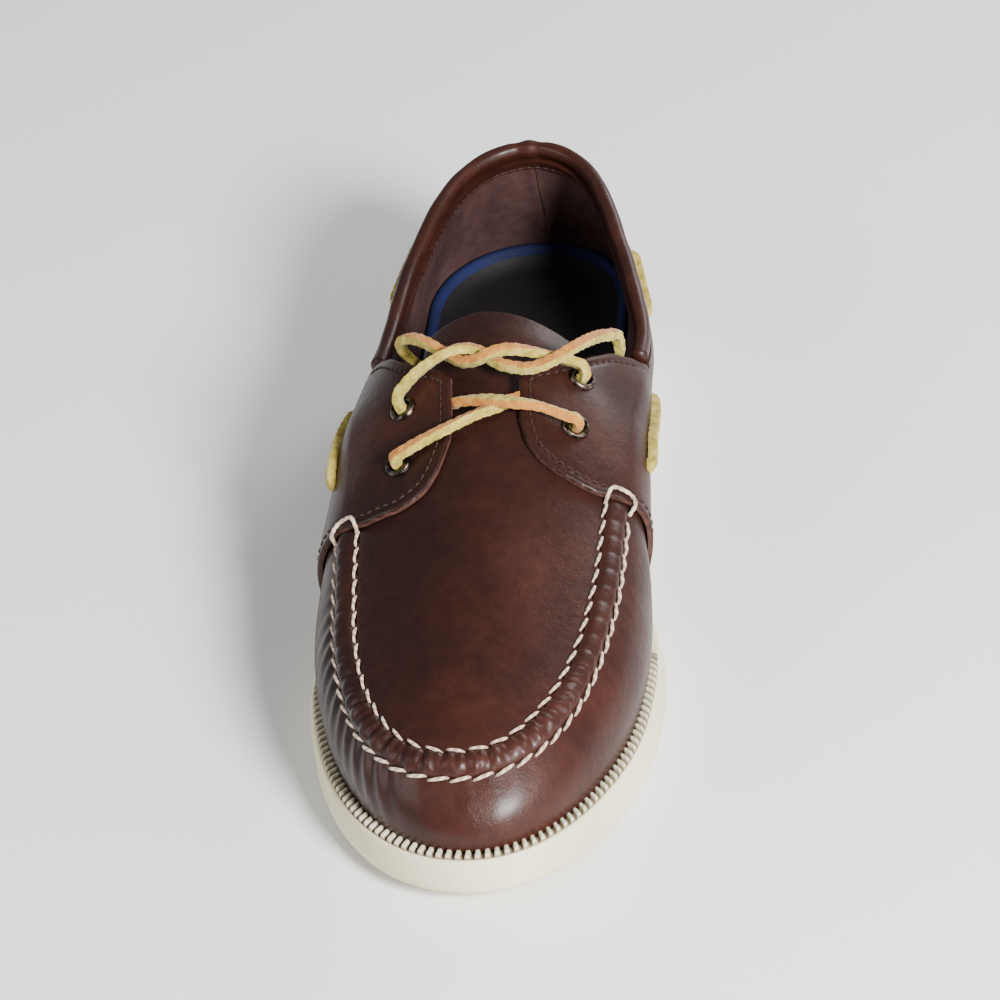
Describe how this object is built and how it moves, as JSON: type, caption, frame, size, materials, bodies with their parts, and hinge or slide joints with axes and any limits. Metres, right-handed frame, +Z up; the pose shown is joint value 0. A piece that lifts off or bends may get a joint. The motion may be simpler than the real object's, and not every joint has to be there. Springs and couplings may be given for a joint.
{
  "type": "boat shoe",
  "caption": "Right-foot leather boat shoe with a moccasin seam, rawhide lacing, metal eyelets and an off-white rubber sole",
  "frame": {"origin": "middle of the outsole's length and width, on the floor it stands on", "axes": "+Y from toe to heel, +X to the medial side, +Z up"},
  "size_m": [0.1066, 0.2994, 0.0867],
  "materials": {
    "upper_leather": "smooth oiled reddish-brown leather with a satin sheen",
    "sole_rubber": "off-white moulded rubber, finely pebbled on its side",
    "insole_foam": "navy foam footbed with a dark cover",
    "eyelet_metal": "antique dark metal, rolled",
    "lace_rawhide": "square-cut rawhide, tan on the grain and pale yellow-green on the cut sides"
  },
  "bodies": {
    "root": {"outsole": "sole_rubber", "toe_ribs": "sole_rubber", "upper": "upper_leather", "quarter_lateral": "upper_leather", "quarter_medial": "upper_leather", "seam_roll": "upper_leather", "collar_roll": "upper_leather", "tongue": "upper_leather", "insole": "insole_foam", "eyelet_lateral_upper": "eyelet_metal", "eyelet_lateral_lower": "eyelet_metal", "eyelet_medial_upper": "eyelet_metal", "eyelet_medial_lower": "eyelet_metal", "lace_cross": "lace_rawhide", "lace_end_lateral": "lace_rawhide", "lace_end_medial": "lace_rawhide", "side_lace_lateral_front": "lace_rawhide", "side_lace_lateral_rear": "lace_rawhide", "side_lace_medial_front": "lace_rawhide", "side_lace_medial_rear": "lace_rawhide"}
  },
  "joints": []
}
